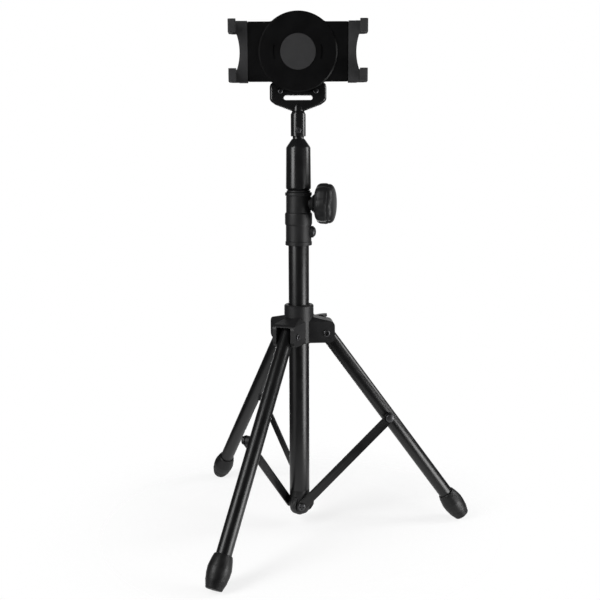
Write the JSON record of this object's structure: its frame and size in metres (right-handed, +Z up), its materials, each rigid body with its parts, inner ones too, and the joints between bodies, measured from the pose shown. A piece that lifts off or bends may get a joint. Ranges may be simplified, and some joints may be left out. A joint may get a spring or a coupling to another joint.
{
  "type": "tablet floor stand",
  "caption": "Tablet floor stand with a folding braced tripod, telescoping mast, twist lock, tilting yoke and a turning holder with sprung hooked jaws.",
  "frame": {"origin": "on the floor under the mast axis", "axes": "+Z up along the mast, +Y away from the holder's front, +X to the right seen from the front"},
  "size_m": [0.383, 0.4235, 0.6985],
  "materials": {
    "tube_paint": "satin black paint",
    "brace_paint": "satin black paint",
    "moulded_black": "matte, finely textured",
    "gloss_black": "glossy",
    "holder_black": "semi-gloss",
    "jaw_grey": "matte",
    "pad_grey": "matte",
    "rubber_black": "matte",
    "dark_steel": "blackened",
    "bright_steel": "plain",
    "natural_nylon": "natural"
  },
  "bodies": {
    "mast": {"lower_tube": "tube_paint", "base_plug": "moulded_black", "base_screw": "dark_steel", "base_rivets": "dark_steel", "collar": "moulded_black", "collar_bush": "natural_nylon", "collar_screw": "dark_steel", "clamp_shoe": "natural_nylon"},
    "clamp_knob": {"clamp_knob": "moulded_black", "clamp_stud": "bright_steel"},
    "brace_1": {"brace_1": "brace_paint"},
    "brace_2": {"brace_2": "brace_paint"},
    "brace_3": {"brace_3": "brace_paint"},
    "hub": {"hub": "moulded_black", "hub_pins": "dark_steel"},
    "hub_lock": {"wing_screw": "moulded_black"},
    "middle_mast": {"middle_tube": "tube_paint", "middle_guide": "natural_nylon", "clutch_core": "moulded_black", "collet": "natural_nylon"},
    "twist_grip": {"twist_grip": "gloss_black"},
    "rod": {"rod_tube": "tube_paint", "rod_guide": "natural_nylon", "rod_cap": "moulded_black"},
    "head": {"swivel_sleeve": "gloss_black", "set_screw": "dark_steel", "yoke": "gloss_black", "tilt_pin": "bright_steel", "ear_screws": "dark_steel"},
    "tilt_base": {"swivel_base": "moulded_black", "pivot_screw": "bright_steel", "pivot_washer": "bright_steel"},
    "cradle": {"cradle_front": "holder_black", "cradle_back": "moulded_black", "cover_screws": "dark_steel", "centre_pad": "pad_grey", "spring_left": "bright_steel", "spring_right": "bright_steel"},
    "jaw_left": {"jaw_left": "jaw_grey", "jaw_pads_left": "rubber_black"},
    "jaw_right": {"jaw_right": "jaw_grey", "jaw_pads_right": "rubber_black"},
    "leg_1": {"leg_tube_1": "tube_paint", "leg_plug_1": "moulded_black", "foot_1": "rubber_black", "brace_bush_1": "natural_nylon", "brace_rivet_1": "dark_steel"},
    "leg_2": {"leg_tube_2": "tube_paint", "leg_plug_2": "moulded_black", "foot_2": "rubber_black", "brace_bush_2": "natural_nylon", "brace_rivet_2": "dark_steel"},
    "leg_3": {"leg_tube_3": "tube_paint", "leg_plug_3": "moulded_black", "foot_3": "rubber_black", "brace_bush_3": "natural_nylon", "brace_rivet_3": "dark_steel"}
  },
  "joints": [
    {"name": "leg_fold", "type": "hinge", "parent": "mast", "child": "brace_1", "pos_m": [0.00282, -0.01525, 0.0306], "axis": [0.0663, -0.9978, 0], "range_deg": [0, 32.2]},
    {"name": "leg_1_turn", "type": "hinge", "parent": "brace_1", "child": "leg_1", "pos_m": [0.12571, -0.00708, 0.1568], "axis": [-0.0663, 0.9978, 0], "range_deg": [0, 67.37]},
    {"name": "hub_lift", "type": "hinge", "parent": "leg_1", "child": "hub", "pos_m": [0.03672, 0.00244, 0.27816], "axis": [0.0663, -0.9978, 0], "range_deg": [0, 35.17]},
    {"name": "leg_2_turn", "type": "hinge", "parent": "hub", "child": "leg_2", "pos_m": [-0.02047, 0.03058, 0.27816], "axis": [-0.831, -0.5563, 0], "range_deg": [0, 35.17]},
    {"name": "leg_3_turn", "type": "hinge", "parent": "hub", "child": "leg_3", "pos_m": [-0.01625, -0.03302, 0.27816], "axis": [0.8973, -0.4415, 0], "range_deg": [0, 35.17]},
    {"name": "brace_2_turn", "type": "hinge", "parent": "mast", "child": "brace_2", "pos_m": [0.0118, 0.01006, 0.0306], "axis": [0.831, 0.5563, 0], "range_deg": [0, 32.4]},
    {"name": "brace_3_turn", "type": "hinge", "parent": "mast", "child": "brace_3", "pos_m": [-0.01461, 0.00518, 0.0306], "axis": [-0.8973, 0.4415, 0], "range_deg": [0, 32.4]},
    {"name": "hub_lock_turn", "type": "hinge", "parent": "hub", "child": "hub_lock", "pos_m": [0, 0, 0.29366], "axis": [0.4415, 0.8973, 0], "range_deg": [0, 360]},
    {"name": "clamp_turn", "type": "hinge", "parent": "mast", "child": "clamp_knob", "pos_m": [0, 0, 0.4538], "axis": [0.9781, -0.2079, 0], "range_deg": [0, 360]},
    {"name": "mast_extend", "type": "slide", "parent": "mast", "child": "middle_mast", "axis": [0, 0, 1], "range_m": [0, 0.325]},
    {"name": "grip_turn", "type": "hinge", "parent": "middle_mast", "child": "twist_grip", "pos_m": [0, 0, 0.5], "axis": [0, 0, 1], "range_deg": [0, 180]},
    {"name": "rod_extend", "type": "slide", "parent": "middle_mast", "child": "rod", "axis": [0, 0, 1], "range_m": [0, 0.33]},
    {"name": "head_swivel", "type": "hinge", "parent": "rod", "child": "head", "pos_m": [0, 0, 0.56], "axis": [0, 0, 1], "continuous": true},
    {"name": "tilt", "type": "hinge", "parent": "head", "child": "tilt_base", "pos_m": [0, 0, 0.60665], "axis": [-1, 0, 0], "range_deg": [-8, 70]},
    {"name": "holder_turn", "type": "hinge", "parent": "tilt_base", "child": "cradle", "pos_m": [0, 0, 0.64795], "axis": [0, -1, 0], "continuous": true},
    {"name": "jaw_left_slide", "type": "slide", "parent": "cradle", "child": "jaw_left", "axis": [-1, 0, 0], "range_m": [0, 0.0165], "stiffness_N_per_m": 250, "springref_m": -0.02, "deforming": ["spring_left"]},
    {"name": "jaw_right_slide", "type": "slide", "parent": "cradle", "child": "jaw_right", "axis": [1, 0, 0], "range_m": [0, 0.0165], "stiffness_N_per_m": 250, "springref_m": -0.02, "deforming": ["spring_right"]}
  ],
  "couplings": [
    {"joint": "leg_1_turn", "follows": "leg_fold", "ratio": 2.086},
    {"joint": "hub_lift", "follows": "leg_fold", "ratio": 1.086},
    {"joint": "leg_2_turn", "follows": "leg_fold", "ratio": 1.086},
    {"joint": "leg_3_turn", "follows": "leg_fold", "ratio": 1.086},
    {"joint": "brace_2_turn", "follows": "leg_fold", "ratio": 1},
    {"joint": "brace_3_turn", "follows": "leg_fold", "ratio": 1}
  ]
}
